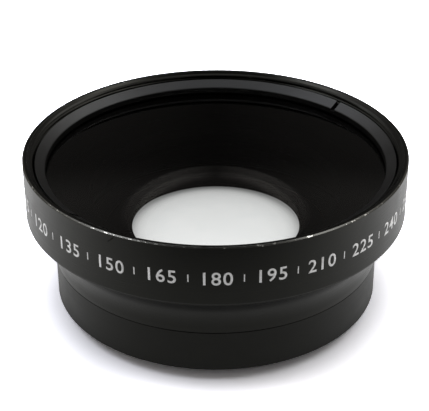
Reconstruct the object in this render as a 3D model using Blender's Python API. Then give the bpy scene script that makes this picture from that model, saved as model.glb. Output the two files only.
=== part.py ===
"""Screw-on wide-angle conversion lens with a detachable macro unit.

Metres, +Z along the optical axis towards the subject. The origin is the centre of the end face of the rear camera
thread, on which the lens stands. Every piece is turned about +Z, so each is a profile of (radius, height) in
millimetres that is spun round the axis. The front unit (front barrel, its glass and its retaining ring) screws off
the macro unit (macro barrel, its glass and its retaining ring) along the joint thread.
"""

import math

import bmesh
import bpy

MM = 0.001
SEGMENTS = 72  # facets round the axis
GAP = 0.3  # mm, clearance between pieces that touch on the real object

# ---- driving dimensions, mm ---------------------------------------------------------------------------------------
HEIGHT = 32.7  # thread end face to front rim
BAND_R = 38.0  # front barrel band
BAND_BOTTOM = 20.6  # lower edge of the band
RIM_CHAMFER = 0.2  # broken outer edge of the front rim
BAND_EDGE = 0.4  # broken lower edge of the band

WAIST_R = 32.7  # short cylinder at the foot of the front barrel
FILLET_FOOT = 12.1  # where the concave waist runs out into that cylinder
FILLET_TOP_R = 37.6  # where it meets the underside of the band
PARTING = 11.25  # lower face of the front barrel

FILTER_R = 36.0  # M72 x 0.75 filter thread in front of the glass
FILTER_DEPTH = 4.0
MOUTH_CHAMFER_R, MOUTH_CHAMFER_H = 1.0, 0.9  # broad lead-in at the mouth of that thread
POCKET_R = 34.5  # bore that centres the front glass
SEAT_LIP_R = 26.0  # inner edge of the lip that the glass sits on
JOINT_R = 30.0  # M60 x 0.75 joint thread
JOINT_LENGTH = 3.2  # length of the male joint thread, of 0.75 pitch

MACRO_R = 32.64  # grip cylinder of the macro barrel
MACRO_TOP = 10.95
MACRO_CHAMFER = 0.2  # broken upper edge, which makes the parting line
SHOULDER = 2.55  # rear seating shoulder above the thread end
CAMERA_R = 29.0  # M58 x 0.75 camera thread
INNER_R = 27.3  # inner bore of the macro barrel, threaded for its retaining ring
RECESS_R = 26.4  # rear recess inside the camera thread

# glass: refractive index 1.517
FRONT_GLASS_R = 34.2
FRONT_R1 = 1000.0  # nearly flat front surface, convex
FRONT_R2 = 52.0  # hollow rear surface
FRONT_EDGE_Z = 28.75  # front edge of the glass
FRONT_CENTRE_T = 5.5
HOLLOW_R = 25.0  # rim of the hollow
ANNULUS_R = 30.5  # outer edge of the flat annulus round the hollow
BEVEL_BELOW = 5.3  # from the front edge down to the top of the bevel

MACRO_GLASS_R = 23.4
MACRO_R3 = 63.0  # convex front surface, with a flat rear surface
MACRO_REAR_Z = 2.3
MACRO_EDGE_T = 1.3
APERTURE_R = 20.6  # inner edge of the macro retaining ring

SLOT_W = 1.1  # spanner slots of the front retaining ring
SLOT_ANGLE = 42.0  # degrees from +X, so that one slot is at the far right
MACRO_SLOT_W = 1.4
MACRO_SLOT_ANGLE = 20.0


def sag(radius, r):
    """Depth of a spherical surface of this radius at the distance r from the axis."""
    return radius - math.sqrt(radius * radius - r * r)


def arc(centre, radius, start, end, count):
    """Points on a circle in the (r, z) plane, angles in degrees from +r towards +z."""
    cr, cz = centre
    return [
        (
            cr + radius * math.cos(math.radians(start + (end - start) * i / count)),
            cz + radius * math.sin(math.radians(start + (end - start) * i / count)),
        )
        for i in range(count + 1)
    ]


def sphere_profile(radius, apex, r_from, r_to, count, sign=-1):
    """Points on a spherical surface about the axis, between two radii. sign -1 falls away from the apex, +1 rises."""
    return [
        (r, apex + sign * sag(radius, r))
        for r in (r_from + (r_to - r_from) * i / count for i in range(count + 1))
    ]


def material(name, colour, roughness, metallic=0.0, transmission=0.0):
    mat = bpy.data.materials.new(name)
    mat.use_nodes = True
    shader = mat.node_tree.nodes["Principled BSDF"]
    shader.inputs["Base Color"].default_value = (*colour, 1.0)
    shader.inputs["Roughness"].default_value = roughness
    shader.inputs["Metallic"].default_value = metallic
    if transmission:
        shader.inputs["Transmission Weight"].default_value = transmission
        shader.inputs["IOR"].default_value = 1.517
    mat.diffuse_color = (*colour, 1.0)
    return mat


def turned(name, profile, mat, bore=True):
    """Spins a closed profile round +Z. The points run anticlockwise seen with +r to the right and +z up. Points on
    the axis (r = 0) become one vertex, for a solid piece such as a glass."""
    bm = bmesh.new()
    rings = []
    for r, z in profile:
        if r < 1e-6:
            rings.append([bm.verts.new((0.0, 0.0, z * MM))])
            continue
        rings.append(
            [
                bm.verts.new(
                    (
                        r * MM * math.cos(2 * math.pi * k / SEGMENTS),
                        r * MM * math.sin(2 * math.pi * k / SEGMENTS),
                        z * MM,
                    )
                )
                for k in range(SEGMENTS)
            ]
        )
    count = len(rings)
    for i in range(count if bore else count - 1):
        low, high = rings[i], rings[(i + 1) % count]
        for k in range(SEGMENTS):
            n = (k + 1) % SEGMENTS
            if len(low) == 1 and len(high) == 1:
                break
            if len(low) == 1:
                bm.faces.new((low[0], high[n], high[k]))
            elif len(high) == 1:
                bm.faces.new((low[k], low[n], high[0]))
            else:
                bm.faces.new((low[k], low[n], high[n], high[k]))
    bmesh.ops.recalc_face_normals(bm, faces=bm.faces)
    mesh = bpy.data.meshes.new(name)
    bm.to_mesh(mesh)
    bm.free()
    mesh.shade_smooth()
    mesh.set_sharp_from_angle(angle=math.radians(25))
    obj = bpy.data.objects.new(name, mesh)
    bpy.context.scene.collection.objects.link(obj)
    obj.data.materials.append(mat)
    return obj


def cut_slots(obj, angle, width, r_in, r_out, z_low, z_high):
    """Cuts two opposite radial slots, each one a box across the ring's wall."""
    for side in (0, 1):
        bm = bmesh.new()
        bmesh.ops.create_cube(bm, size=1.0)
        length = (r_out - r_in) * MM
        bmesh.ops.scale(bm, verts=bm.verts, vec=(length, width * MM, (z_high - z_low) * MM))
        bmesh.ops.translate(
            bm,
            verts=bm.verts,
            vec=((r_in + r_out) / 2 * MM, 0.0, (z_low + z_high) / 2 * MM),
        )
        mesh = bpy.data.meshes.new(f"{obj.name}_slot_{side}")
        bm.to_mesh(mesh)
        bm.free()
        cutter = bpy.data.objects.new(mesh.name, mesh)
        bpy.context.scene.collection.objects.link(cutter)
        cutter.rotation_euler = (0.0, 0.0, math.radians(angle + 180 * side))
        cutter.hide_render = True
        cutter.display_type = "WIRE"
        cutter.parent = obj.parent
        cut = obj.modifiers.new(f"slot_{side}", "BOOLEAN")
        cut.operation = "DIFFERENCE"
        cut.solver = "EXACT"
        cut.object = cutter


for old in list(bpy.data.objects):
    bpy.data.objects.remove(old, do_unlink=True)

anodised = material("black_anodised", (0.021, 0.021, 0.022), 0.38, metallic=0.0)
matt_black = material("matt_black_anodised", (0.016, 0.016, 0.017), 0.5)
glass = material("coated_glass", (1.0, 1.0, 1.0), 0.0, transmission=1.0)

# the axis that the front unit turns about and travels along
screw_axis = bpy.data.objects.new("screw_axis", None)
bpy.context.scene.collection.objects.link(screw_axis)

# ---- front barrel ------------------------------------------------------------------------------------------------
# The concave waist is an arc, tangent to the short cylinder at its foot, that meets the band's underside.
rise = (BAND_BOTTOM - 0.2) - FILLET_FOOT
width = FILLET_TOP_R - WAIST_R
fillet_r = (rise * rise + width * width) / (2 * width)
fillet_end = math.degrees(math.asin(rise / fillet_r))
waist = arc((WAIST_R + fillet_r, FILLET_FOOT), fillet_r, 180.0, 180.0 - fillet_end, 9)

# The glass comes first, because its bevel and its flat annulus set the seat.
front_apex = FRONT_EDGE_Z + sag(FRONT_R1, FRONT_GLASS_R)
hollow_apex = front_apex - FRONT_CENTRE_T
annulus_z = hollow_apex - sag(FRONT_R2, HOLLOW_R)
bevel_top = FRONT_EDGE_Z - BEVEL_BELOW
bevel_slope = (FRONT_GLASS_R - ANNULUS_R) / (bevel_top - annulus_z)
seat_shift = GAP * math.sqrt(1 + bevel_slope * bevel_slope)  # radial clearance at the cone
cone_top_z = annulus_z + (POCKET_R - ANNULUS_R - seat_shift) / bevel_slope
seat_z = annulus_z - GAP
seat_r = ANNULUS_R - GAP * bevel_slope + seat_shift
front_profile = [
    (JOINT_R + 0.75, PARTING),  # mouth of the joint thread
    (WAIST_R - 0.15, PARTING),
    (WAIST_R, PARTING + 0.15),
    *waist,
    (BAND_R - BAND_EDGE, BAND_BOTTOM),
    (BAND_R, BAND_BOTTOM + BAND_EDGE),
    (BAND_R, HEIGHT - RIM_CHAMFER),
    (BAND_R - RIM_CHAMFER, HEIGHT),
    (FILTER_R + MOUTH_CHAMFER_R, HEIGHT),
    (FILTER_R, HEIGHT - MOUTH_CHAMFER_H),
    (FILTER_R, HEIGHT - FILTER_DEPTH),
    (POCKET_R, HEIGHT - FILTER_DEPTH),
    (POCKET_R, cone_top_z),
    (seat_r, seat_z),
    (SEAT_LIP_R, seat_z),
    (SEAT_LIP_R, seat_z - 1.5),
    (JOINT_R + 0.3, 15.3),
    (JOINT_R + 0.3, PARTING + 0.45),
]
front_barrel = turned("front_barrel", front_profile, anodised)

# ---- front element -----------------------------------------------------------------------------------------------
front_glass_profile = (
    sphere_profile(FRONT_R2, hollow_apex, 0.0, HOLLOW_R, 8)
    + [(ANNULUS_R, annulus_z), (FRONT_GLASS_R, bevel_top), (FRONT_GLASS_R, FRONT_EDGE_Z - 0.25)]
    + sphere_profile(FRONT_R1, front_apex, FRONT_GLASS_R - 0.25, 0.0, 6)
)
front_element = turned("front_element", front_glass_profile, glass, bore=False)

# ---- front retaining ring ----------------------------------------------------------------------------------------
ring_low = FRONT_EDGE_Z + GAP
front_ring_profile = [
    (33.45, ring_low),
    (FILTER_R - GAP, ring_low),
    (FILTER_R - GAP, 31.05),  # the sloping face runs from the thread down to the glass
    (33.62, 30.12),
    (33.5, 29.95),
]
front_ring = turned("front_retaining_ring", front_ring_profile, matt_black)

# ---- macro barrel ------------------------------------------------------------------------------------------------
joint_top = MACRO_TOP + JOINT_LENGTH
macro_profile = [
    (RECESS_R + 0.4, 0.0),
    (CAMERA_R - 0.35, 0.0),
    (CAMERA_R, 0.35),
    (CAMERA_R, SHOULDER),
    (MACRO_R - 0.45, SHOULDER),
    (MACRO_R, SHOULDER + 0.6),
    (MACRO_R, MACRO_TOP - MACRO_CHAMFER),
    (MACRO_R - MACRO_CHAMFER, MACRO_TOP),
    (JOINT_R - 0.45, MACRO_TOP),
    (JOINT_R - 0.45, MACRO_TOP + 0.5),
    (JOINT_R, MACRO_TOP + 0.9),
    (JOINT_R, joint_top - 0.35),
    (JOINT_R - 0.35, joint_top),
    (INNER_R + 0.4, joint_top),
    (INNER_R, joint_top - 0.4),
    (INNER_R, 4.45),
    (MACRO_GLASS_R + 0.3, 4.45),
    (MACRO_GLASS_R + 0.3, MACRO_REAR_Z - GAP),
    (21.9, MACRO_REAR_Z - GAP),
    (21.9, 1.5),
    (22.4, 1.1),
    (RECESS_R, 1.1),
    (RECESS_R, 0.4),
]
macro_barrel = turned("macro_barrel", macro_profile, anodised)

# ---- macro element -----------------------------------------------------------------------------------------------
macro_edge_top = MACRO_REAR_Z + MACRO_EDGE_T
macro_apex = macro_edge_top + sag(MACRO_R3, MACRO_GLASS_R)
macro_glass_profile = (
    [(0.0, MACRO_REAR_Z), (MACRO_GLASS_R - 0.2, MACRO_REAR_Z), (MACRO_GLASS_R, MACRO_REAR_Z + 0.2)]
    + sphere_profile(MACRO_R3, macro_apex, MACRO_GLASS_R, 0.0, 8)
)
macro_element = turned("macro_element", macro_glass_profile, glass, bore=False)

# ---- macro retaining ring ----------------------------------------------------------------------------------------
macro_ring_low = macro_apex - sag(MACRO_R3, APERTURE_R) + GAP
macro_ring_profile = [
    (APERTURE_R, macro_ring_low),
    (INNER_R - GAP, macro_ring_low),
    (INNER_R - GAP, 6.3),
    (INNER_R - GAP - 0.25, 6.55),
    (APERTURE_R + 0.75, 6.55),
    (APERTURE_R, 5.55),
]
macro_ring = turned("macro_retaining_ring", macro_ring_profile, matt_black)

for obj in (front_barrel, front_element, front_ring):
    obj.parent = screw_axis

cut_slots(front_ring, SLOT_ANGLE, SLOT_W, 32.9, 36.5, 29.7, 31.6)
cut_slots(macro_ring, MACRO_SLOT_ANGLE, MACRO_SLOT_W, 19.8, 23.4, 5.6, 7.2)
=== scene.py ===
import math

import bmesh
import bpy
from mathutils import Matrix, Vector


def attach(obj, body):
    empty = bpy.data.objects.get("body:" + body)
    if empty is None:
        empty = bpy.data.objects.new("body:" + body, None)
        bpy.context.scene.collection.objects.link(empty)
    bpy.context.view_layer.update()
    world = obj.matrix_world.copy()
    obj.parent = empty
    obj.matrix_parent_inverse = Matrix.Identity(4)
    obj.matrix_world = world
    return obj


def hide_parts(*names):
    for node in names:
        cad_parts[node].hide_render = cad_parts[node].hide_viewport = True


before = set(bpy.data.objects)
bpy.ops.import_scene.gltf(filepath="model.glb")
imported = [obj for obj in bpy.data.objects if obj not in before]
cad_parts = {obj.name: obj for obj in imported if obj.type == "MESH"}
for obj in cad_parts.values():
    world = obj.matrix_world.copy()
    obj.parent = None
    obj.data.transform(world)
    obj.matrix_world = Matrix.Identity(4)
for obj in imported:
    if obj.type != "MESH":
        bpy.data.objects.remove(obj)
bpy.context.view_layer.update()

MM = 0.001
SEG = 360
PITCH = 0.75  # of every thread, mm

# ---------------------------------------------------------------------------------------------------------------
# Dimensions shared with the CAD, mm
# ---------------------------------------------------------------------------------------------------------------
HEIGHT = 32.698
BAND_R = 37.975  # a hair under the CAD's 38.0, so that the printed scale stays inside its box
SCALE_R = 37.996
FRONT_GLASS_R = 34.2
R1, R2, R3 = 1000.0, 52.0, 63.0
FRONT_EDGE_Z = 28.75
FRONT_CENTRE_T = 5.5
HOLLOW_R = 25.0
ANNULUS_R = 30.5
BEVEL_TOP = FRONT_EDGE_Z - 5.3
MACRO_GLASS_R = 23.4
MACRO_REAR_Z = 2.3
MACRO_EDGE_TOP = 3.6
GLASS_IOR = 1.517


def sag(radius, r):
    return radius - math.sqrt(radius * radius - r * r)


FRONT_APEX = FRONT_EDGE_Z + sag(R1, FRONT_GLASS_R)
HOLLOW_APEX = FRONT_APEX - FRONT_CENTRE_T
ANNULUS_Z = HOLLOW_APEX - sag(R2, HOLLOW_R)
MACRO_APEX = MACRO_EDGE_TOP + sag(R3, MACRO_GLASS_R)


# ---------------------------------------------------------------------------------------------------------------
# Turned meshes
# ---------------------------------------------------------------------------------------------------------------
def rounded(corners, step=15.0):
    """Rounds the corners (r, z, radius) of a closed profile. A radius of 0 leaves a corner as it is."""
    out = []
    n = len(corners)
    for i, (r, z, radius) in enumerate(corners):
        p = Vector((r, z))
        a = Vector(corners[i - 1][:2])
        b = Vector(corners[(i + 1) % n][:2])
        if radius <= 0:
            out.append((r, z))
            continue
        u, v = (a - p).normalized(), (b - p).normalized()
        half = u.angle(v) / 2
        if half > math.radians(88):
            out.append((r, z))
            continue
        cut = min(radius / math.tan(half), 0.45 * (a - p).length, 0.45 * (b - p).length)
        rad = cut * math.tan(half)
        c = p + (u + v).normalized() * (rad / math.sin(half))
        s, e = p + u * cut, p + v * cut
        a0 = math.atan2(s.y - c.y, s.x - c.x)
        a1 = math.atan2(e.y - c.y, e.x - c.x)
        d = (a1 - a0 + math.pi) % (2 * math.pi) - math.pi
        k = max(2, round(abs(math.degrees(d)) / step))
        out += [
            (c.x + rad * math.cos(a0 + d * j / k), c.y + rad * math.sin(a0 + d * j / k))
            for j in range(k + 1)
        ]
    return out


def held(points, closed=True):
    """Adds a point near the ends of each long straight run that meets a small round, so that shading stays flat on it."""
    n = len(points)
    length = [math.dist(points[i], points[(i + 1) % n]) for i in range(n)]
    out = []
    for i in range(n):
        a, b = points[i], points[(i + 1) % n]
        out.append(a)
        if not closed and i == n - 1:
            break
        if length[i] > 0.2:
            near = min(0.04, length[i] * 0.2)
            if length[i] > 3 * length[i - 1]:
                t = near / length[i]
                out.append((a[0] + (b[0] - a[0]) * t, a[1] + (b[1] - a[1]) * t))
            if length[i] > 3 * length[(i + 1) % n]:
                t = 1 - near / length[i]
                out.append((a[0] + (b[0] - a[0]) * t, a[1] + (b[1] - a[1]) * t))
    return out


def thread_wave(t):
    """Height of a 60 degree thread form at t turns of pitch, from 0 at the root to 1 at the crest."""
    tri = 1 - abs(2 * (t % 1.0) - 1)
    x = min(1.0, max(0.0, (tri - 0.14) / 0.70))
    return x + 0.12 * math.sin(2 * math.pi * x) / (2 * math.pi)


class Rows:
    """The rows of a turned mesh: plain ones, and threaded stretches whose radius follows a true helix."""

    def __init__(self):
        self.rows = []

    def plain(self, points, mat=0):
        self.rows += [(r, z, mat, 0.0, 0.0) for r, z in points]
        return self

    def thread(self, r, z_from, z_to, depth, mat=0, run_in=0.35, per_pitch=12):
        """A thread on a cylinder of this radius. depth is positive outwards. It fades in and out over run_in."""
        n = max(2, round(abs(z_to - z_from) / PITCH * per_pitch))
        for i in range(n + 1):
            z = z_from + (z_to - z_from) * i / n
            ends = min(abs(z - z_from), abs(z - z_to))
            fade = min(1.0, ends / run_in)
            self.rows.append((r, z, mat, depth * fade * fade * (3 - 2 * fade), 1.0))
        return self


def place(row, k, seg):
    r, z, _mat, depth, threaded = row
    turn = k / seg
    if threaded:
        r += depth * thread_wave((z - PITCH * turn) / PITCH)
    a = 2 * math.pi * turn
    return (r * MM * math.cos(a), r * MM * math.sin(a), z * MM)


def lathe(name, rows, closed=True, seg=SEG, sharp=32.0, materials=()):
    bm = bmesh.new()
    rings = []
    for row in rows:
        if row[0] < 1e-6:
            rings.append([bm.verts.new((0.0, 0.0, row[1] * MM))])
        else:
            rings.append([bm.verts.new(place(row, k, seg)) for k in range(seg)])
    n = len(rings)
    for i in range(n if closed else n - 1):
        low, high, mat = rings[i], rings[(i + 1) % n], rows[i][2]
        for k in range(seg):
            m = (k + 1) % seg
            if len(low) == 1:
                f = bm.faces.new((low[0], high[m], high[k]))
            elif len(high) == 1:
                f = bm.faces.new((low[k], low[m], high[0]))
            else:
                f = bm.faces.new((low[k], low[m], high[m], high[k]))
            f.material_index = mat
            f.smooth = True
    bmesh.ops.recalc_face_normals(bm, faces=bm.faces)
    mesh = bpy.data.meshes.new(name)
    bm.to_mesh(mesh)
    bm.free()
    for m in materials:
        mesh.materials.append(m)
    mesh.set_sharp_from_angle(angle=math.radians(sharp))
    obj = bpy.data.objects.new(name, mesh)
    bpy.context.scene.collection.objects.link(obj)
    return obj


def bake_modifiers(obj, sharp=32.0):
    bpy.context.view_layer.update()
    graph = bpy.context.evaluated_depsgraph_get()
    made = bpy.data.meshes.new_from_object(obj.evaluated_get(graph), depsgraph=graph)
    obj.modifiers.clear()
    obj.data = made
    for p in made.polygons:
        p.use_smooth = True
    made.set_sharp_from_angle(angle=math.radians(sharp))


def slots(obj, angle, width, r_in, r_out, z_low, z_high):
    """Mills two opposite radial slots."""
    cutters = []
    for side in (0, 1):
        bm = bmesh.new()
        bmesh.ops.create_cube(bm, size=1.0)
        bmesh.ops.scale(bm, verts=bm.verts, vec=((r_out - r_in) * MM, width * MM, (z_high - z_low) * MM))
        bmesh.ops.translate(bm, verts=bm.verts, vec=((r_in + r_out) / 2 * MM, 0, (z_low + z_high) / 2 * MM))
        mesh = bpy.data.meshes.new(f"slot_{side}")
        bm.to_mesh(mesh)
        bm.free()
        cutter = bpy.data.objects.new(mesh.name, mesh)
        bpy.context.scene.collection.objects.link(cutter)
        cutter.rotation_euler = (0, 0, math.radians(angle + 180 * side))
        cut = obj.modifiers.new(mesh.name, "BOOLEAN")
        cut.operation, cut.solver, cut.object = "DIFFERENCE", "EXACT", cutter
        cutters.append(cutter)
    bake_modifiers(obj)
    for cutter in cutters:
        bpy.data.objects.remove(cutter, do_unlink=True)


# ---------------------------------------------------------------------------------------------------------------
# Materials
# ---------------------------------------------------------------------------------------------------------------
class Graph:
    """A small helper that makes and links shader nodes."""

    def __init__(self, name):
        self.mat = bpy.data.materials.new(name)
        self.mat.use_nodes = True
        self.tree = self.mat.node_tree
        self.shader = self.tree.nodes["Principled BSDF"]

    def node(self, kind, **settings):
        n = self.tree.nodes.new(kind)
        for key, value in settings.items():
            setattr(n, key, value)
        return n

    def link(self, source, target):
        self.tree.links.new(source, target)

    def math(self, op, a, b=None, c=None, clamp=False):
        n = self.node("ShaderNodeMath", operation=op, use_clamp=clamp)
        for i, v in enumerate((a, b, c)):
            if v is None:
                continue
            if isinstance(v, (int, float)):
                n.inputs[i].default_value = v
            else:
                self.link(v, n.inputs[i])
        return n.outputs[0]

    def ramp(self, value, low, high, out_low=0.0, out_high=1.0, smooth=True):
        n = self.node("ShaderNodeMapRange", interpolation_type="SMOOTHSTEP" if smooth else "LINEAR")
        self.link(value, n.inputs["Value"])
        for key, v in (("From Min", low), ("From Max", high), ("To Min", out_low), ("To Max", out_high)):
            n.inputs[key].default_value = v
        return n.outputs["Result"]

    def noise(self, vector, scale, detail=2.0, rough=0.5, dims="3D"):
        n = self.node("ShaderNodeTexNoise", noise_dimensions=dims)
        n.inputs["Scale"].default_value = scale
        n.inputs["Detail"].default_value = detail
        n.inputs["Roughness"].default_value = rough
        self.link(vector, n.inputs["Vector"])
        return n.outputs["Fac"]

    def mix_colour(self, fac, a, b):
        n = self.node("ShaderNodeMix", data_type="RGBA")
        if isinstance(fac, (int, float)):
            n.inputs["Factor"].default_value = fac
        else:
            self.link(fac, n.inputs["Factor"])
        for key, v in ((6, a), (7, b)):
            if isinstance(v, tuple):
                n.inputs[key].default_value = (*v, 1.0)
            else:
                self.link(v, n.inputs[key])
        return n.outputs[2]

    def polar(self):
        """Object coordinates, the radius from the axis and the height, in millimetres."""
        coord = self.node("ShaderNodeTexCoord").outputs["Object"]
        scaled = self.node("ShaderNodeVectorMath", operation="SCALE")
        self.link(coord, scaled.inputs[0])
        scaled.inputs["Scale"].default_value = 1000.0
        xyz = self.node("ShaderNodeSeparateXYZ")
        self.link(scaled.outputs[0], xyz.inputs[0])
        r = self.math("SQRT", self.math("ADD", self.math("MULTIPLY", xyz.outputs[0], xyz.outputs[0]),
                                        self.math("MULTIPLY", xyz.outputs[1], xyz.outputs[1])))
        return scaled.outputs[0], xyz, r

    def combine(self, x, y, z):
        n = self.node("ShaderNodeCombineXYZ")
        for i, v in enumerate((x, y, z)):
            if isinstance(v, (int, float)):
                n.inputs[i].default_value = v
            else:
                self.link(v, n.inputs[i])
        return n.outputs[0]


def anodised(name, colour, tint, roughness, specular, sheen=(1.0, 1.0, 1.0), marks=0.006, mark_scale=5.5, wear_and_glint=(),
             nicks=()):
    """Anodised aluminium with fine turning marks round the axis. wear_and_glint lists (r, z, reach, cover, metal):
    circles in mm where handling has burnished the edge, or taken the colour off down to the metal, and where a reddish
    metal colour is a painted glint. nicks lists (around, z, slope, length, width): short scratches on the band, in mm
    round it from the front and in degrees."""
    g = Graph(name)
    pos, xyz, r = g.polar()
    # turning marks: they vary with radius and height, and hardly round the axis
    ring = g.combine(g.math("MULTIPLY", r, mark_scale), g.math("MULTIPLY", xyz.outputs[2], mark_scale), 0.0)
    drift = g.noise(pos, 0.05, 2.0)
    ring_pos = g.node("ShaderNodeVectorMath", operation="ADD")
    g.link(ring, ring_pos.inputs[0])
    g.link(g.combine(g.math("MULTIPLY", drift, 0.8), g.math("MULTIPLY", drift, 0.8), 0.0), ring_pos.inputs[1])
    fine = g.noise(ring_pos.outputs[0], 1.0, 3.0, 0.65)
    mottle = g.noise(pos, 0.22, 4.0, 0.6)
    grain = g.noise(pos, 9.0, 2.0, 0.5)
    base = g.mix_colour(g.ramp(mottle, 0.3, 0.72), colour, tint)
    rough = g.math("ADD", g.ramp(fine, 0.25, 0.75, roughness - 0.045, roughness + 0.05),
                   g.ramp(mottle, 0.3, 0.75, -0.02, 0.035))
    metal = None
    for wr, wz, reach, cover, bare_and_glint, scale in wear_and_glint:
        dr = g.math("SUBTRACT", r, wr)
        dz = g.math("SUBTRACT", xyz.outputs[2], wz)
        near = g.math("SQRT", g.math("ADD", g.math("MULTIPLY", dr, dr), g.math("MULTIPLY", dz, dz)))
        broken = g.noise(pos, scale, 4.0, 0.65)
        limit = g.ramp(broken, cover, cover + 0.16, 0.0, 1.0)
        edge = g.math("SUBTRACT", g.math("MULTIPLY", limit, reach), near)
        mask = g.ramp(edge, -0.04, 0.04)
        base = g.mix_colour(mask, base, bare_and_glint)
        metal = mask if metal is None else g.math("MAXIMUM", metal, mask)
    bump_height = g.math("ADD", g.math("MULTIPLY", fine, 1.0), g.math("MULTIPLY", grain, 0.35))
    if nicks:
        around = g.math("MULTIPLY", g.math("ARCTAN2", xyz.outputs[0], g.math("MULTIPLY", xyz.outputs[1], -1.0)), BAND_R)
    for u0, z0, slope_deg, length, width in nicks:
        ca, sa = math.cos(math.radians(slope_deg)), math.sin(math.radians(slope_deg))
        du, dz = g.math("SUBTRACT", around, u0), g.math("SUBTRACT", xyz.outputs[2], z0)
        along = g.math("ABSOLUTE", g.math("ADD", g.math("MULTIPLY", du, ca), g.math("MULTIPLY", dz, sa)))
        over = g.math("ABSOLUTE", g.math("SUBTRACT", g.math("MULTIPLY", dz, ca), g.math("MULTIPLY", du, sa)))
        uneven = g.math("MULTIPLY", g.noise(pos, 2.2, 3.0, 0.6), width)
        cut = g.math("MULTIPLY", g.ramp(g.math("SUBTRACT", over, uneven), -0.03, 0.07, 1.0, 0.0),
                     g.ramp(along, length * 0.35, length * 0.5, 1.0, 0.0))
        rough = g.math("ADD", rough, g.math("MULTIPLY", cut, 0.5), clamp=True)
        bump_height = g.math("SUBTRACT", bump_height, g.math("MULTIPLY", cut, 14.0))
    bump = g.node("ShaderNodeBump")
    bump.inputs["Strength"].default_value = 0.5
    bump.inputs["Distance"].default_value = marks * MM
    g.link(bump_height, bump.inputs["Height"])
    g.link(bump.outputs[0], g.shader.inputs["Normal"])
    if metal is not None:
        rough = g.math("ADD", g.math("MULTIPLY", rough, g.math("SUBTRACT", 1.0, metal)),
                       g.math("MULTIPLY", metal, 0.27))
        g.link(metal, g.shader.inputs["Metallic"])
    g.link(base, g.shader.inputs["Base Color"])
    g.link(rough, g.shader.inputs["Roughness"])
    g.shader.inputs["Specular IOR Level"].default_value = specular
    g.shader.inputs["Specular Tint"].default_value = (*sheen, 1.0)
    return g.mat


def coated_glass(name, tint):
    """Polished glass with a thin coating, which takes most of the reflection away and colours the rest."""
    g = Graph(name)
    g.shader.inputs["Transmission Weight"].default_value = 1.0
    g.shader.inputs["IOR"].default_value = GLASS_IOR
    g.shader.inputs["Roughness"].default_value = 0.0
    g.shader.inputs["Specular Tint"].default_value = (*tint, 1.0)
    pos, _xyz, _r = g.polar()
    g.link(g.mix_colour(g.ramp(g.noise(pos, 0.35, 3.0), 0.35, 0.75), (0.985, 0.99, 0.985), (0.965, 0.975, 0.97)),
           g.shader.inputs["Base Color"])
    return g.mat


def edge_paint(name):
    """Black lacquer on the ground edge of a glass, slightly uneven."""
    g = Graph(name)
    pos, _xyz, _r = g.polar()
    speck = g.noise(pos, 1.6, 4.0, 0.6)
    g.link(g.mix_colour(g.ramp(speck, 0.3, 0.75), (0.0007, 0.0007, 0.0007), (0.0011, 0.0011, 0.0010)),
           g.shader.inputs["Base Color"])
    g.link(g.ramp(speck, 0.3, 0.7, 0.55, 0.75), g.shader.inputs["Roughness"])
    g.shader.inputs["Specular IOR Level"].default_value = 0.03
    return g.mat


def print_white(name):
    """Screen-printed white ink, a little thin at its edges."""
    g = Graph(name)
    pos, _xyz, _r = g.polar()
    thin = g.noise(pos, 3.5, 4.0, 0.6)
    g.link(g.mix_colour(g.ramp(thin, 0.32, 0.7), (0.80, 0.80, 0.81), (0.93, 0.93, 0.94)), g.shader.inputs["Base Color"])
    g.link(g.ramp(thin, 0.3, 0.7, 0.45, 0.62), g.shader.inputs["Roughness"])
    g.shader.inputs["Specular IOR Level"].default_value = 0.3
    return g.mat


WARM = (1.0, 1.0, 0.90)
COOL = (0.95, 0.97, 1.0)
barrel_black = anodised("black_anodised", (0.0009, 0.0009, 0.0008), (0.0014, 0.0014, 0.0012), 0.31, 0.19, sheen=WARM,
                        wear_and_glint=[(37.86, 32.60, 0.20, 0.26, (0.085, 0.085, 0.081), 0.30),
                              (37.86, 32.60, 0.19, 0.54, (0.55, 0.55, 0.53), 0.9),
                              (37.10, 32.66, 0.15, 0.60, (0.30, 0.30, 0.29), 1.1)],
                        nicks=[(-19.3, 31.65, 43.0, 2.1, 0.16), (21.5, 27.6, -60.0, 1.1, 0.08)])
macro_black = anodised("black_anodised_macro", (0.0055, 0.0055, 0.0054), (0.0075, 0.0075, 0.0072), 0.40, 0.14, sheen=WARM)
ring_black = anodised("matt_black_anodised_front", (0.0040, 0.0040, 0.0042), (0.0060, 0.0059, 0.0060), 0.34, 0.40,
                      sheen=COOL, marks=0.008)
# A darker, duller copy of the front ring's anodising: painted shade on the ring's inner lip.
lip_shade_black = anodised("matt_black_lip_shaded", (0.0016, 0.0016, 0.0016), (0.0022, 0.0022, 0.0021), 0.42, 0.09, marks=0.008)
mouth_black = anodised("mouth_black", (0.0009, 0.0009, 0.0009), (0.0014, 0.0014, 0.0013), 0.24, 0.17, sheen=WARM, marks=0.004)
# The reddish bare-metal edge at r 26.84 on this ring is a painted glint, not wear.
inner_black = anodised("matt_black_anodised_macro", (0.0010, 0.0008, 0.0007), (0.0014, 0.0012, 0.0010), 0.52, 0.005, sheen=(1.0, 0.85, 0.75),
                       marks=0.008, wear_and_glint=[(26.84, 6.50, 0.17, 0.10, (0.16, 0.09, 0.07), 0.5)])
bore_black = anodised("inside_black", (0.0007, 0.0007, 0.0007), (0.0011, 0.0011, 0.0010), 0.60, 0.03)
front_glass_mat = coated_glass("front_glass", (0.055, 0.042, 0.042))
macro_glass_mat = coated_glass("macro_glass", (0.05, 0.04, 0.045))
paint = edge_paint("edge_blackening")
ink = print_white("white_print")

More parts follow.
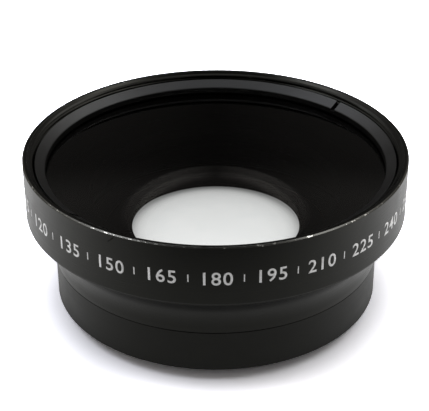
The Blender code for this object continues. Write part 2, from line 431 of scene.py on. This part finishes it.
# ---------------------------------------------------------------------------------------------------------------
# Front barrel: rounds and threads that the CAD leaves out
# ---------------------------------------------------------------------------------------------------------------
foot_z, top_r, under_z = 12.1, 37.6, 20.4
waist_r = 32.7
rise, across = under_z - foot_z, top_r - waist_r
fillet = (rise * rise + across * across) / (2 * across)
sweep = math.degrees(math.asin(rise / fillet))
waist = [
    (waist_r + fillet - fillet * math.cos(math.radians(sweep * i / 30)),
     foot_z + fillet * math.sin(math.radians(sweep * i / 30)))
    for i in range(31)
]
slope = (FRONT_GLASS_R - ANNULUS_R) / (BEVEL_TOP - ANNULUS_Z)
shift = 0.3 * math.sqrt(1 + slope * slope)
cone_top = ANNULUS_Z + (34.5 - ANNULUS_R - shift) / slope
seat_z = ANNULUS_Z - 0.3
seat_r = ANNULUS_R - 0.3 * slope + shift

rows = Rows()
foot = rounded([(30.6, 11.5, 0.0), (30.75, 11.01, 0.10), (32.59, 11.01, 0.05), (waist_r, 11.12, 0.04), (waist_r, 12.05, 0.0)])[1:-1]
rows.plain(held(foot, closed=False))
rows.plain(waist)
band = rounded([
    (top_r, under_z, 0.0),
    (37.62, 20.60, 0.06),
    (BAND_R - 0.03, 20.86, 0.12),
    (BAND_R, 21.05, 0.0),
    (BAND_R, HEIGHT - 0.24, 0.12),
    (BAND_R - 0.27, HEIGHT, 0.14),
    (37.10, HEIGHT, 0.10),
    (36.60, HEIGHT - 0.44, 0.06),
    (36.40, HEIGHT - 0.55, 0.0),
])[1:-1]
rows.plain(held(band, closed=False))
rows.rows = [(r, z, 2 if r < 37.06 and z > HEIGHT - 0.56 else mat, depth, threaded) for r, z, mat, depth, threaded in rows.rows]
rows.thread(36.40, HEIGHT - 0.55, HEIGHT - 3.6, -0.36, run_in=0.15)
rows.plain(held(rounded([
    (36.40, HEIGHT - 3.6, 0.0),
    (36.50, HEIGHT - 3.7, 0.0),
    (36.50, HEIGHT - 4.0, 0.08),
    (34.5, HEIGHT - 4.0, 0.08),
    (34.5, cone_top, 0.1),
    (seat_r, seat_z, 0.1),
    (26.0, seat_z, 0.10),
    (26.0, seat_z - 1.5, 0.10),
    (30.6, 15.3, 0.15),
    (30.6, 15.0, 0.0),
])[1:-1], closed=False), mat=1)
rows.thread(30.35, 14.9, 11.75, -0.34, run_in=0.2)
front_barrel = lathe("front_barrel_turned", rows.rows, materials=(barrel_black, bore_black, mouth_black))

# ---------------------------------------------------------------------------------------------------------------
# Front element
# ---------------------------------------------------------------------------------------------------------------
rows = Rows()
rows.plain([(HOLLOW_R * math.sin(math.pi / 2 * i / 48), HOLLOW_APEX - sag(R2, HOLLOW_R * math.sin(math.pi / 2 * i / 48)))
            for i in range(49)], mat=0)
rows.rows[-1] = (*rows.rows[-1][:2], 1, 0.0, 0.0)
rows.plain([(25.12, ANNULUS_Z - 0.03), (25.2, ANNULUS_Z - 0.035), (30.4, ANNULUS_Z - 0.03), (30.5, ANNULUS_Z),
            (30.6, ANNULUS_Z + 0.16), (34.1, BEVEL_TOP - 0.16), (34.2, BEVEL_TOP), (34.2, FRONT_EDGE_Z - 0.25)], mat=1)
front_rows = [(33.95 * (1 - i / 20), FRONT_APEX - sag(R1, 33.95 * (1 - i / 20))) for i in range(21)]
rows.plain(front_rows, mat=0)
front_element = lathe("front_element_glass", rows.rows, closed=False, sharp=12.0, materials=(front_glass_mat, paint))

# ---------------------------------------------------------------------------------------------------------------
# Front retaining ring
# ---------------------------------------------------------------------------------------------------------------
ring_low = FRONT_EDGE_Z + 0.3
rows = Rows()
rows.plain(held(rounded([
    (33.55, ring_low, 0.06),
    (35.62, ring_low, 0.10),
    (35.62, 31.42, 0.06),
    (33.78, 30.24, 0.05),
    (33.66, 30.06, 0.05),
])))
# the lip round the glass takes a darker, duller copy of the ring's anodising: painted shade on the inner edge over the
# glass
rows.rows = [(r, z, 1 if r < 33.74 and z < 30.20 else 0, depth, threaded) for r, z, _mat, depth, threaded in rows.rows]
front_ring = lathe("front_retaining_ring_turned", rows.rows, materials=(ring_black, lip_shade_black))
slots(front_ring, 42.0, 1.05, 32.9, 36.5, 29.7, 31.6)

# ---------------------------------------------------------------------------------------------------------------
# Macro barrel
# ---------------------------------------------------------------------------------------------------------------
rows = Rows()
rows.plain(held(rounded([
    (26.4, 0.45, 0.0),
    (26.75, 0.0, 0.06),
    (28.30, 0.0, 0.10),
    (28.62, 0.30, 0.0),
])[1:], closed=False))
rows.thread(28.58, 0.32, 2.30, 0.38, run_in=0.2)
rows.plain(held(rounded([
    (28.58, 2.35, 0.0),
    (28.55, 2.55, 0.05),
    (32.48, 2.55, 0.06),
    (32.64, 2.75, 0.08),
    (32.64, 10.87, 0.04),
    (32.54, 10.97, 0.04),
    (29.60, 10.97, 0.05),
    (29.55, 11.35, 0.0),
])[1:-1], closed=False))
rows.thread(29.62, 11.4, 13.9, 0.36, run_in=0.2)
rows.plain(held(rounded([
    (29.6, 13.9, 0.0),
    (29.55, 14.15, 0.10),
    (27.65, 14.15, 0.08),
    (27.40, 13.9, 0.0),
])[1:], closed=False), mat=1)
rows.thread(27.40, 13.85, 5.2, -0.30, run_in=0.2, mat=1, per_pitch=5)
rows.plain(held(rounded([
    (27.40, 5.2, 0.0),
    (27.3, 4.45, 0.08),
    (23.7, 4.45, 0.08),
    (23.7, 2.0, 0.06),
    (21.9, 2.0, 0.06),
    (21.9, 1.5, 0.05),
    (22.4, 1.1, 0.05),
    (26.4, 1.1, 0.10),
    (26.4, 0.45, 0.05),
    (26.75, 0.0, 0.0),
])[1:-1], closed=False), mat=0)
macro_barrel = lathe("macro_barrel_turned", rows.rows, materials=(macro_black, bore_black))

# ---------------------------------------------------------------------------------------------------------------
# Macro element
# ---------------------------------------------------------------------------------------------------------------
rows = Rows()
rows.plain([(0.0, MACRO_REAR_Z), (8.0, MACRO_REAR_Z), (16.0, MACRO_REAR_Z), (22.9, MACRO_REAR_Z), (23.15, MACRO_REAR_Z)], mat=0)
rows.rows[-1] = (*rows.rows[-1][:2], 1, 0.0, 0.0)
rows.plain([(23.4, MACRO_REAR_Z + 0.25), (23.4, MACRO_EDGE_TOP - 0.03)], mat=1)
rows.plain([(23.3 * math.sin(math.pi / 2 * (1 - i / 40)), MACRO_APEX - sag(R3, 23.3 * math.sin(math.pi / 2 * (1 - i / 40))))
            for i in range(41)], mat=0)
macro_element = lathe("macro_element_glass", rows.rows, closed=False, sharp=12.0, materials=(macro_glass_mat, paint))

# ---------------------------------------------------------------------------------------------------------------
# Macro retaining ring
# ---------------------------------------------------------------------------------------------------------------
macro_ring_low = MACRO_APEX - sag(R3, 20.6) + 0.3
rows = Rows()
rows.plain(held(rounded([
    (20.6, macro_ring_low, 0.05),
    (26.6, macro_ring_low, 0.1),
    (27.0, 5.3, 0.05),
    (27.0, 6.3, 0.08),
    (26.75, 6.55, 0.08),
    (21.35, 6.55, 0.10),
    (20.6, 5.55, 0.08),
])))
macro_ring = lathe("macro_retaining_ring_turned", rows.rows, materials=(inner_black,))
slots(macro_ring, 20.0, 1.4, 19.8, 23.4, 5.6, 7.2)

# ---------------------------------------------------------------------------------------------------------------
# Printed scale on the band: plain numbers round the front unit, every 15 degrees
# ---------------------------------------------------------------------------------------------------------------
CAP = 2.62  # mm, height of the numbers
CENTRE_Z = 26.3


def wrapped_text(text, centre_deg):
    """Number meshes wrapped on the band, as (vertices, faces) in metres."""
    curve = bpy.data.curves.new("number", "FONT")
    curve.body = text
    curve.align_x = "CENTER"
    curve.size = CAP / 0.70
    curve.offset = 0.035
    curve.space_character = 1.12
    curve.resolution_u = 4
    obj = bpy.data.objects.new("number", curve)
    bpy.context.scene.collection.objects.link(obj)
    bpy.context.view_layer.update()
    graph = bpy.context.evaluated_depsgraph_get()
    mesh = bpy.data.meshes.new_from_object(obj.evaluated_get(graph), depsgraph=graph)
    bm = bmesh.new()
    bm.from_mesh(mesh)
    bpy.data.objects.remove(obj, do_unlink=True)
    bpy.data.curves.remove(curve)
    bpy.data.meshes.remove(mesh)
    bmesh.ops.remove_doubles(bm, verts=bm.verts, dist=1e-4)
    low = min(v.co.x for v in bm.verts)
    high = max(v.co.x for v in bm.verts)
    cuts = int((high - low) / 0.4)
    for i in range(1, cuts + 1):
        x = low + (high - low) * i / (cuts + 1)
        bmesh.ops.bisect_plane(bm, geom=bm.verts[:] + bm.edges[:] + bm.faces[:], plane_co=(x, 0, 0), plane_no=(1, 0, 0))
    bmesh.ops.triangulate(bm, faces=bm.faces)
    solid = bmesh.ops.extrude_face_region(bm, geom=bm.faces[:])
    for v in [g for g in solid["geom"] if isinstance(g, bmesh.types.BMVert)]:
        v.co.z += 1.0
    mid = (min(v.co.y for v in bm.verts) + max(v.co.y for v in bm.verts)) / 2
    for v in bm.verts:
        x, y, top = v.co
        r = SCALE_R if top > 0.5 else BAND_R - 0.03
        a = math.radians(centre_deg) + x / BAND_R
        v.co = (r * MM * math.cos(a), r * MM * math.sin(a), (CENTRE_Z + y - mid) * MM)
    bmesh.ops.recalc_face_normals(bm, faces=bm.faces)
    out = bpy.data.meshes.new("number")
    bm.to_mesh(out)
    bm.free()
    return out


def tick(centre_deg, width, z_low, z_high):
    bm = bmesh.new()
    half = width / 2 / BAND_R
    a = math.radians(centre_deg)
    corners = []
    for r in (BAND_R - 0.03, SCALE_R):
        for da, z in ((-half, z_low), (half, z_low), (half, z_high), (-half, z_high)):
            corners.append(bm.verts.new((r * MM * math.cos(a + da), r * MM * math.sin(a + da), z * MM)))
    b, t = corners[:4], corners[4:]
    bm.faces.new(t)
    bm.faces.new(b[::-1])
    for i in range(4):
        j = (i + 1) % 4
        bm.faces.new((b[i], b[j], t[j], t[i]))
    bmesh.ops.recalc_face_normals(bm, faces=bm.faces)
    out = bpy.data.meshes.new("tick")
    bm.to_mesh(out)
    bm.free()
    return out


parts = []
for i in range(24):
    value = i * 15
    where = (90 + value) % 360
    parts.append(wrapped_text(str(value), where))
    for k in (7.5,):
        parts.append(tick(where + k, 0.22, CENTRE_Z - CAP / 2 + 0.55, CENTRE_Z + CAP / 2 - 0.55))
joined = bmesh.new()
for m in parts:
    joined.from_mesh(m)
    bpy.data.meshes.remove(m)
scale_mesh = bpy.data.meshes.new("band_scale")
joined.to_mesh(scale_mesh)
joined.free()
scale_mesh.materials.append(ink)
band_scale = bpy.data.objects.new("band_scale", scale_mesh)
bpy.context.scene.collection.objects.link(band_scale)

# ---------------------------------------------------------------------------------------------------------------
# What each piece stands for and moves with
# ---------------------------------------------------------------------------------------------------------------
for obj, node, body, slot in (
    (front_barrel, "front_barrel", "front_unit", "black_anodised"),
    (front_ring, "front_retaining_ring", "front_unit", "matt_black_front"),
    (front_element, "front_element", "front_glass", "front_glass"),
    (macro_barrel, "macro_barrel", "macro_unit", "black_anodised_macro"),
    (macro_element, "macro_element", "macro_unit", "macro_glass"),
    (macro_ring, "macro_retaining_ring", "macro_unit", "matt_black_macro"),
):
    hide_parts(node)
    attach(obj, body)
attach(band_scale, "front_unit")

# ---------------------------------------------------------------------------------------------------------------
# Stage: floor, light and camera
# ---------------------------------------------------------------------------------------------------------------
FLOOR_SEEN = 3.30  # overexposed
UNDER_LENS_GLOW = 0.83
ROOM_BASE = 0.032
ROOM_SIDES = 0.42

bm = bmesh.new()
bmesh.ops.create_grid(bm, x_segments=8, y_segments=8, size=3.0)
floor_mesh = bpy.data.meshes.new("floor")
bm.to_mesh(floor_mesh)
bm.free()
floor = bpy.data.objects.new("floor", floor_mesh)
bpy.context.scene.collection.objects.link(floor)


def tones(graph, value, span, stops):
    """A smooth curve through (value, tone) stops, for values from 0 to span and tones up to 2."""
    n = graph.node("ShaderNodeValToRGB")
    n.color_ramp.interpolation = "CARDINAL"
    ramp = n.color_ramp.elements
    while len(ramp) < len(stops):
        ramp.new(0.5)
    for e, (v, tone) in zip(ramp, stops):
        e.position = v / span
        e.color = (tone / 2, tone / 2, tone / 2, 1.0)
    graph.link(graph.math("DIVIDE", value, span, clamp=True), n.inputs["Fac"])
    return graph.math("MAXIMUM", graph.math("MULTIPLY", n.outputs["Color"], 2.0), 0.0)


# The floor is overexposed white paper. Where the camera sees it, its tone carries painted shadow round the base. For
# all other rays it glows instead of being lit, as painted light: what the object mirrors of it is darker in front and
# behind than at the sides, as under two long softboxes, and dark close round the base as painted shadow, and the paper
# under the lens glows with painted light of its own.
g = Graph("floor_white")
g.tree.nodes.remove(g.shader)
pos, xyz, r = g.polar()
paper = g.noise(pos, 0.03, 3.0, 0.5)
seen = g.node("ShaderNodeBsdfDiffuse")
# Painted shadow on the paper the camera sees: darker close round the base, darker still on the left near it, and
# lighter to the left and darker to the right out to about 78 mm.
painted_floor_shade = tones(g, r, 100.0, ((0, 0.50), (29, 0.50), (32, 0.56), (34, 0.69), (36.5, 0.86), (40, 0.98), (47, 1.10),
                              (60, 1.2)))
shadow = g.math("MULTIPLY", g.ramp(xyz.outputs[0], -26.0, -8.0, 0.20, 0.0), g.ramp(r, 36.0, 42.0, 1.0, 0.0))
painted_floor_shade = g.math("MULTIPLY", painted_floor_shade, g.math("SUBTRACT", 1.0, shadow))
painted_side_shade = g.math("MULTIPLY", g.ramp(xyz.outputs[0], -14.0, 36.0, -0.06, 0.19), g.ramp(r, 52.0, 78.0, 1.0, 0.0))
painted_floor_shade = g.math("MULTIPLY", painted_floor_shade, g.math("SUBTRACT", 1.0, painted_side_shade))
paper_and_painted_shade = g.math("MULTIPLY", g.ramp(paper, 0.3, 0.7, 1.0, 1.03), g.math("MULTIPLY", painted_floor_shade, FLOOR_SEEN))
g.link(g.combine(paper_and_painted_shade, g.math("MULTIPLY", paper_and_painted_shade, 1.008), g.math("MULTIPLY", paper_and_painted_shade, 1.08)), seen.inputs["Color"])
side = g.math("POWER", g.math("DIVIDE", g.math("MULTIPLY", xyz.outputs[0], xyz.outputs[0]),
                              g.math("ADD", g.math("MULTIPLY", r, r), 1.0)), 1.3)
# What the other rays see is painted glow: dark close round the base as painted shadow, and darker in front and behind
# than at the sides.
front_tone = tones(g, r, 400.0, ((30, 0.0), (33, 0.1), (35, 0.62), (40, 0.72), (50, 0.80), (62, 0.80), (74, 0.90),
                                 (98, 0.10), (200, 0.03), (380, 0.06)))
side_tone = tones(g, r, 400.0, ((30, 0.0), (33, 0.2), (36, 0.80), (46, 1.15), (65, 1.30), (100, 1.95), (165, 0.75),
                                (300, 0.42)))
around = g.math("ADD", front_tone, g.math("MULTIPLY", side, g.math("SUBTRACT", side_tone, front_tone)))
# Painted light under the lens: the paper there glows, standing in for light through the glass, a little brighter
# towards the front.
painted_glow_under_lens = g.math("MULTIPLY", tones(g, r, 40.0, ((0, 1.0), (9, 1.0), (12.5, 0.98), (14.6, 0.94), (17, 0.88), (19, 0.70),
                                             (20.8, 0.40), (25, 0.12), (27.5, 0.0))),
               g.math("MULTIPLY", g.math("SUBTRACT", 1.0, g.math("MULTIPLY", xyz.outputs[1], 0.011)), UNDER_LENS_GLOW))
outside = g.ramp(r, 25.0, 27.5, 0.0, 1.0)
painted_glow = g.node("ShaderNodeEmission")
g.link(g.math("ADD", painted_glow_under_lens, g.math("MULTIPLY", around, outside)), painted_glow.inputs["Strength"])
both = g.node("ShaderNodeMixShader")
g.link(g.node("ShaderNodeLightPath").outputs["Is Camera Ray"], both.inputs[0])
g.link(painted_glow.outputs[0], both.inputs[1])
g.link(seen.outputs[0], both.inputs[2])
g.link(both.outputs[0], g.tree.nodes["Material Output"].inputs["Surface"])
floor_mesh.materials.append(g.mat)


def softbox(name, azimuth, elevation, distance, size, radiance, colour=(1.0, 1.0, 1.0)):
    """A rectangular softbox that faces the lens. Azimuth 0 is in front, 90 at the right; size is (along, up) in metres."""
    az, el = math.radians(azimuth), math.radians(elevation)
    where = Vector((math.cos(el) * math.sin(az), -math.cos(el) * math.cos(az), math.sin(el))) * distance
    light = bpy.data.lights.new(name, "AREA")
    light.shape = "RECTANGLE"
    light.size, light.size_y = size
    light.energy = radiance * math.pi * size[0] * size[1]
    light.color = colour
    obj = bpy.data.objects.new(name, light)
    bpy.context.scene.collection.objects.link(obj)
    obj.location = where
    obj.rotation_euler = (-where).to_track_quat("-Z", "Y").to_euler()
    obj.visible_transmission = False  # a real coating leaves no image of it behind the front glass
    return obj


COOL_LIGHT, WARM_LIGHT = (0.985, 0.995, 1.02), (1.012, 1.0, 0.975)
softbox("left_key", 272, 57.0, 1.20, (0.52, 0.36), 3.9, COOL_LIGHT)
softbox("left_strip", 251, 54.0, 1.25, (1.50, 0.40), 1.9, COOL_LIGHT)
softbox("right_key", 90, 57.0, 1.20, (0.50, 0.36), 2.5, WARM_LIGHT)
softbox("right_strip", 110, 54.0, 1.25, (1.50, 0.40), 2.4, WARM_LIGHT)
softbox("overhead", 180, 84.0, 1.10, (0.80, 0.42), 1.45)

world = bpy.data.worlds.new("studio")
bpy.context.scene.world = world
world.use_nodes = True
tree = world.node_tree


def wnode(kind, **settings):
    n = tree.nodes.new(kind)
    for key, value in settings.items():
        setattr(n, key, value)
    return n


def wmath(op, a, b):
    n = wnode("ShaderNodeMath", operation=op)
    for i, v in enumerate((a, b)):
        if isinstance(v, (int, float)):
            n.inputs[i].default_value = v
        else:
            tree.links.new(v, n.inputs[i])
    return n.outputs[0]


# A dim room, paler at both sides up to half height, and a pale backdrop where the camera looks past the floor.
direction = wnode("ShaderNodeSeparateXYZ")
tree.links.new(wnode("ShaderNodeTexCoord").outputs["Generated"], direction.inputs[0])
dx, dz = direction.outputs[0], direction.outputs[2]
flat = wmath("MAXIMUM", wmath("SUBTRACT", 1.0, wmath("MULTIPLY", dz, dz)), 0.001)
sides = wmath("DIVIDE", wmath("MULTIPLY", dx, dx), flat)
band_of_light = wnode("ShaderNodeMapRange", interpolation_type="SMOOTHSTEP")
tree.links.new(dz, band_of_light.inputs["Value"])
for key, v in (("From Min", 0.72), ("From Max", 0.60), ("To Min", 0.0), ("To Max", 1.0)):
    band_of_light.inputs[key].default_value = v
lifted = wnode("ShaderNodeMapRange", interpolation_type="SMOOTHSTEP")
tree.links.new(dz, lifted.inputs["Value"])
for key, v in (("From Min", 0.455), ("From Max", 0.515), ("To Min", 0.85), ("To Max", 2.2)):
    lifted.inputs[key].default_value = v
paler = wmath("MULTIPLY", wmath("POWER", sides, 0.55), band_of_light.outputs["Result"])
room = wmath("MULTIPLY", wmath("ADD", ROOM_BASE, wmath("MULTIPLY", paler, ROOM_SIDES)), lifted.outputs["Result"])
background = tree.nodes["Background"]
background.inputs["Color"].default_value = (1.0, 0.96, 0.90, 1.0)
tree.links.new(room, background.inputs["Strength"])
backdrop = wnode("ShaderNodeBackground")
backdrop.inputs["Color"].default_value = (0.98, 0.98, 0.98, 1.0)
chosen = wnode("ShaderNodeMixShader")
tree.links.new(wnode("ShaderNodeLightPath").outputs["Is Camera Ray"], chosen.inputs[0])
tree.links.new(background.outputs[0], chosen.inputs[1])
tree.links.new(backdrop.outputs[0], chosen.inputs[2])
tree.links.new(chosen.outputs[0], tree.nodes["World Output"].inputs["Surface"])

camera_data = bpy.data.cameras.new("camera")
camera = bpy.data.objects.new("camera", camera_data)
bpy.context.scene.collection.objects.link(camera)
camera_data.sensor_width = 36.0
camera_data.lens = 110.6
camera_data.clip_start = 0.01
camera.rotation_mode = "XYZ"
camera.location = (-0.00024, -0.23187, 0.15168)
view_tilt = math.pi / 2 - 0.5182
roll = -0.0042
camera.rotation_euler = (Matrix.Rotation(view_tilt, 3, "X") @ Matrix.Rotation(roll, 3, "Z")).to_euler()
camera_data.dof.use_dof = False
bpy.context.scene.camera = camera

bpy.context.scene.view_settings.view_transform = "Standard"
bpy.context.scene.view_settings.look = "None"
bpy.context.scene.view_settings.exposure = 0.0
bpy.context.scene.view_settings.gamma = 1.0
